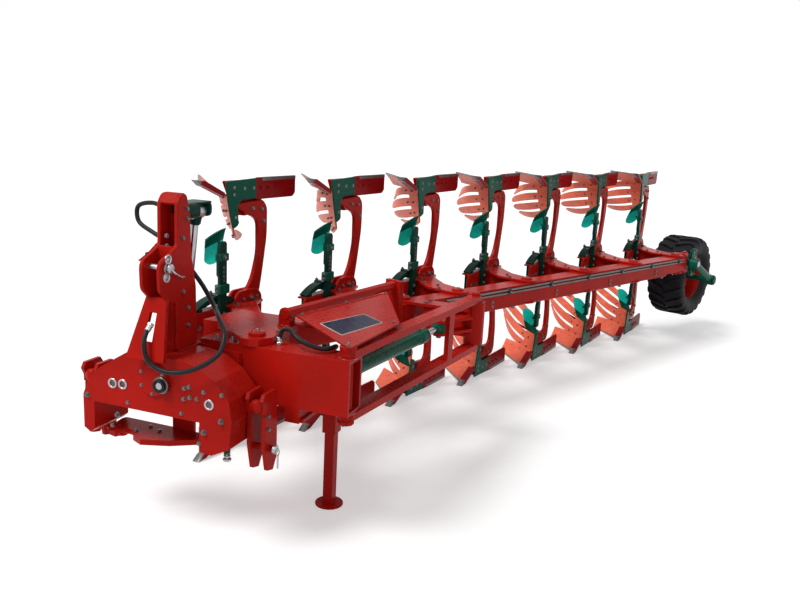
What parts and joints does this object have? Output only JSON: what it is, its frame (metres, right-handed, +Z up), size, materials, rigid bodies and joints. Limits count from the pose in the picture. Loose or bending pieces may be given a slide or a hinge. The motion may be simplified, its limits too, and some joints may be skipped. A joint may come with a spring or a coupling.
{
  "type": "reversible plough",
  "caption": "Mounted reversible plough: headstock with turnover shaft and mast, cross box, swinging main beam with paired upper and lower bodies, skimmers, depth wheel and parking stand.",
  "frame": {"origin": "on the ground under the middle of the whole plough's bounding box", "axes": "+X towards the tractor along the turnover axis, +Y to the left, +Z up"},
  "size_m": [6.8962, 3.5314, 1.805],
  "materials": {
    "chrome": "polished rod",
    "coral": "coral red paint, worn by soil",
    "green": "dark green paint",
    "hose": "black rubber hose",
    "red": "deep gloss red paint",
    "rubber": "black tyre rubber"
  },
  "bodies": {
    "headstock": {"headstock_frame": "red", "mast": "red", "hitch_tongue": "red", "mast_hose": "hose"},
    "turnover": {"cross_box": "red", "frame_hose": "hose"},
    "turnover_cylinder": {"turnover_cylinder": "chrome"},
    "stand": {"parking_stand": "red"},
    "beam": {"main_beam": "red", "cover_panel": "red"},
    "outer_link": {"outer_link": "red"},
    "crosshead": {"crosshead": "red"},
    "steering": {"steering_rod": "red"},
    "width_barrel": {"width_cylinder_barrel": "green"},
    "width_rod": {"width_cylinder_rod": "chrome"},
    "bracket_1": {"bracket_1": "red", "skimmer_pair_1": "green"},
    "upper_1": {"upper_leg_1": "red", "upper_body_1": "coral"},
    "lower_1": {"lower_leg_1": "red", "lower_body_1": "coral"},
    "bracket_2": {"bracket_2": "red", "skimmer_pair_2": "green"},
    "upper_2": {"upper_leg_2": "red", "upper_body_2": "coral"},
    "lower_2": {"lower_leg_2": "red", "lower_body_2": "coral"},
    "bracket_3": {"bracket_3": "red", "skimmer_pair_3": "green"},
    "upper_3": {"upper_leg_3": "red", "upper_body_3": "coral"},
    "lower_3": {"lower_leg_3": "red", "lower_body_3": "coral"},
    "bracket_4": {"bracket_4": "red", "skimmer_pair_4": "green"},
    "upper_4": {"upper_leg_4": "red", "upper_body_4": "coral"},
    "lower_4": {"lower_leg_4": "red", "lower_body_4": "coral"},
    "bracket_5": {"bracket_5": "red", "skimmer_pair_5": "green"},
    "upper_5": {"upper_leg_5": "red", "upper_body_5": "coral"},
    "lower_5": {"lower_leg_5": "red", "lower_body_5": "coral"},
    "bracket_6": {"bracket_6": "red", "skimmer_pair_6": "green"},
    "upper_6": {"upper_leg_6": "red", "upper_body_6": "coral"},
    "lower_6": {"lower_leg_6": "red", "lower_body_6": "coral"},
    "bracket_7": {"bracket_7": "red", "skimmer_pair_7": "green"},
    "upper_7": {"upper_leg_7": "red", "upper_body_7": "coral"},
    "lower_7": {"lower_leg_7": "red", "lower_body_7": "coral"},
    "wheel_swivel": {"wheel_swivel": "green"},
    "wheel_arm": {"wheel_arm": "green"},
    "depth_wheel": {"depth_wheel": "rubber"}
  },
  "joints": [
    {"name": "turnover", "type": "hinge", "parent": "headstock", "child": "turnover", "pos_m": [3.0835, -0.94024, 0.9], "axis": [-1, 0, 0], "range_deg": [0, 180]},
    {"name": "turnover_cylinder_tilt", "type": "hinge", "parent": "headstock", "child": "turnover_cylinder", "pos_m": [2.9835, -0.94024, 1.7], "axis": [1, 0, 0], "range_deg": [0, 12.85]},
    {"name": "stand_lift", "type": "slide", "parent": "turnover", "child": "stand", "axis": [0, 0, 1], "range_m": [0, 0.2]},
    {"name": "width_swing", "type": "hinge", "parent": "turnover", "child": "beam", "pos_m": [2.9585, -0.58724, 0.9], "axis": [0, 0, -1], "range_deg": [0, 19.7]},
    {"name": "outer_link_turn", "type": "hinge", "parent": "turnover", "child": "outer_link", "pos_m": [2.9585, -0.07024, 0.9], "axis": [0, 0, -1], "range_deg": [0, 19.7]},
    {"name": "crosshead_turn", "type": "hinge", "parent": "beam", "child": "crosshead", "pos_m": [1.34337, -0.36919, 0.9], "axis": [0, 0, -1], "range_deg": [-19.7, 0]},
    {"name": "steering_rod_turn", "type": "hinge", "parent": "crosshead", "child": "steering", "pos_m": [1.29621, -0.47511, 0.763], "axis": [0, 0, -1], "range_deg": [0, 19.7]},
    {"name": "width_cylinder_turn", "type": "hinge", "parent": "turnover", "child": "width_barrel", "pos_m": [2.7985, -0.17024, 0.9], "axis": [0, 0, -1], "range_deg": [0, 26.65]},
    {"name": "width_rod_slide", "type": "slide", "parent": "width_barrel", "child": "width_rod", "axis": [-0.9916, 0.1297, 0], "range_m": [0, 0.02633]},
    {"name": "bracket_1_turn", "type": "hinge", "parent": "beam", "child": "bracket_1", "pos_m": [2.3695, -0.85424, 0.9], "axis": [0, 0, -1], "range_deg": [-19.7, 0]},
    {"name": "upper_trip_1", "type": "hinge", "parent": "bracket_1", "child": "upper_1", "pos_m": [1.95028, -1.2637, 1.012], "axis": [-0.1564, -0.9877, 0], "range_deg": [0, 18], "stiffness_Nm_per_rad": 20000, "springref_deg": -8.59},
    {"name": "lower_trip_1", "type": "hinge", "parent": "bracket_1", "child": "lower_1", "pos_m": [1.95028, -1.2637, 0.788], "axis": [0.1564, 0.9877, 0], "range_deg": [0, 18], "stiffness_Nm_per_rad": 20000, "springref_deg": -8.59},
    {"name": "bracket_2_turn", "type": "hinge", "parent": "beam", "child": "bracket_2", "pos_m": [1.60103, -0.49098, 0.9], "axis": [0, 0, -1], "range_deg": [-19.7, 0]},
    {"name": "upper_trip_2", "type": "hinge", "parent": "bracket_2", "child": "upper_2", "pos_m": [1.18181, -0.90044, 1.012], "axis": [-0.1564, -0.9877, 0], "range_deg": [0, 18], "stiffness_Nm_per_rad": 20000, "springref_deg": -8.59},
    {"name": "lower_trip_2", "type": "hinge", "parent": "bracket_2", "child": "lower_2", "pos_m": [1.18181, -0.90044, 0.788], "axis": [0.1564, 0.9877, 0], "range_deg": [0, 18], "stiffness_Nm_per_rad": 20000, "springref_deg": -8.59},
    {"name": "bracket_3_turn", "type": "hinge", "parent": "beam", "child": "bracket_3", "pos_m": [0.83256, -0.12773, 0.9], "axis": [0, 0, -1], "range_deg": [-19.7, 0]},
    {"name": "upper_trip_3", "type": "hinge", "parent": "bracket_3", "child": "upper_3", "pos_m": [0.41334, -0.53719, 1.012], "axis": [-0.1564, -0.9877, 0], "range_deg": [0, 18], "stiffness_Nm_per_rad": 20000, "springref_deg": -8.59},
    {"name": "lower_trip_3", "type": "hinge", "parent": "bracket_3", "child": "lower_3", "pos_m": [0.41334, -0.53719, 0.788], "axis": [0.1564, 0.9877, 0], "range_deg": [0, 18], "stiffness_Nm_per_rad": 20000, "springref_deg": -8.59},
    {"name": "bracket_4_turn", "type": "hinge", "parent": "beam", "child": "bracket_4", "pos_m": [0.06409, 0.23553, 0.9], "axis": [0, 0, -1], "range_deg": [-19.7, 0]},
    {"name": "upper_trip_4", "type": "hinge", "parent": "bracket_4", "child": "upper_4", "pos_m": [-0.35513, -0.17394, 1.012], "axis": [-0.1564, -0.9877, 0], "range_deg": [0, 18], "stiffness_Nm_per_rad": 20000, "springref_deg": -8.59},
    {"name": "lower_trip_4", "type": "hinge", "parent": "bracket_4", "child": "lower_4", "pos_m": [-0.35513, -0.17394, 0.788], "axis": [0.1564, 0.9877, 0], "range_deg": [0, 18], "stiffness_Nm_per_rad": 20000, "springref_deg": -8.59},
    {"name": "bracket_5_turn", "type": "hinge", "parent": "beam", "child": "bracket_5", "pos_m": [-0.70438, 0.59878, 0.9], "axis": [0, 0, -1], "range_deg": [-19.7, 0]},
    {"name": "upper_trip_5", "type": "hinge", "parent": "bracket_5", "child": "upper_5", "pos_m": [-1.1236, 0.18932, 1.012], "axis": [-0.1564, -0.9877, 0], "range_deg": [0, 18], "stiffness_Nm_per_rad": 20000, "springref_deg": -8.59},
    {"name": "lower_trip_5", "type": "hinge", "parent": "bracket_5", "child": "lower_5", "pos_m": [-1.1236, 0.18932, 0.788], "axis": [0.1564, 0.9877, 0], "range_deg": [0, 18], "stiffness_Nm_per_rad": 20000, "springref_deg": -8.59},
    {"name": "bracket_6_turn", "type": "hinge", "parent": "beam", "child": "bracket_6", "pos_m": [-1.47285, 0.96203, 0.9], "axis": [0, 0, -1], "range_deg": [-19.7, 0]},
    {"name": "upper_trip_6", "type": "hinge", "parent": "bracket_6", "child": "upper_6", "pos_m": [-1.89207, 0.55257, 1.012], "axis": [-0.1564, -0.9877, 0], "range_deg": [0, 18], "stiffness_Nm_per_rad": 20000, "springref_deg": -8.59},
    {"name": "lower_trip_6", "type": "hinge", "parent": "bracket_6", "child": "lower_6", "pos_m": [-1.89207, 0.55257, 0.788], "axis": [0.1564, 0.9877, 0], "range_deg": [0, 18], "stiffness_Nm_per_rad": 20000, "springref_deg": -8.59},
    {"name": "bracket_7_turn", "type": "hinge", "parent": "beam", "child": "bracket_7", "pos_m": [-2.24132, 1.32529, 0.9], "axis": [0, 0, -1], "range_deg": [-19.7, 0]},
    {"name": "upper_trip_7", "type": "hinge", "parent": "bracket_7", "child": "upper_7", "pos_m": [-2.66054, 0.91583, 1.012], "axis": [-0.1564, -0.9877, 0], "range_deg": [0, 18], "stiffness_Nm_per_rad": 20000, "springref_deg": -8.59},
    {"name": "lower_trip_7", "type": "hinge", "parent": "bracket_7", "child": "lower_7", "pos_m": [-2.66054, 0.91583, 0.788], "axis": [0.1564, 0.9877, 0], "range_deg": [0, 18], "stiffness_Nm_per_rad": 20000, "springref_deg": -8.59},
    {"name": "wheel_swing", "type": "hinge", "parent": "beam", "child": "wheel_swivel", "pos_m": [-2.43118, 1.41503, 0.9], "axis": [0, 0, -1], "range_deg": [0, 12]},
    {"name": "wheel_flip", "type": "hinge", "parent": "wheel_swivel", "child": "wheel_arm", "pos_m": [-2.43118, 1.41503, 0.9], "axis": [0.3584, 0.9336, 0], "range_deg": [0, 49.06]},
    {"name": "wheel_spin", "type": "hinge", "parent": "wheel_arm", "child": "depth_wheel", "pos_m": [-2.9815, 1.38776, 0.67], "axis": [0.3584, 0.9336, 0], "continuous": true}
  ],
  "couplings": [
    {"joint": "turnover_cylinder_tilt", "follows": "turnover", "ratio": 0.07132},
    {"joint": "outer_link_turn", "follows": "width_swing", "ratio": 1},
    {"joint": "crosshead_turn", "follows": "width_swing", "ratio": -1},
    {"joint": "steering_rod_turn", "follows": "width_swing", "ratio": 1},
    {"joint": "width_cylinder_turn", "follows": "width_swing", "ratio": 1.352},
    {"joint": "width_rod_slide", "follows": "width_swing", "m_per_rad": 0.076},
    {"joint": "bracket_1_turn", "follows": "width_swing", "ratio": -1},
    {"joint": "bracket_2_turn", "follows": "width_swing", "ratio": -1},
    {"joint": "bracket_3_turn", "follows": "width_swing", "ratio": -1},
    {"joint": "bracket_4_turn", "follows": "width_swing", "ratio": -1},
    {"joint": "bracket_5_turn", "follows": "width_swing", "ratio": -1},
    {"joint": "bracket_6_turn", "follows": "width_swing", "ratio": -1},
    {"joint": "bracket_7_turn", "follows": "width_swing", "ratio": -1}
  ]
}
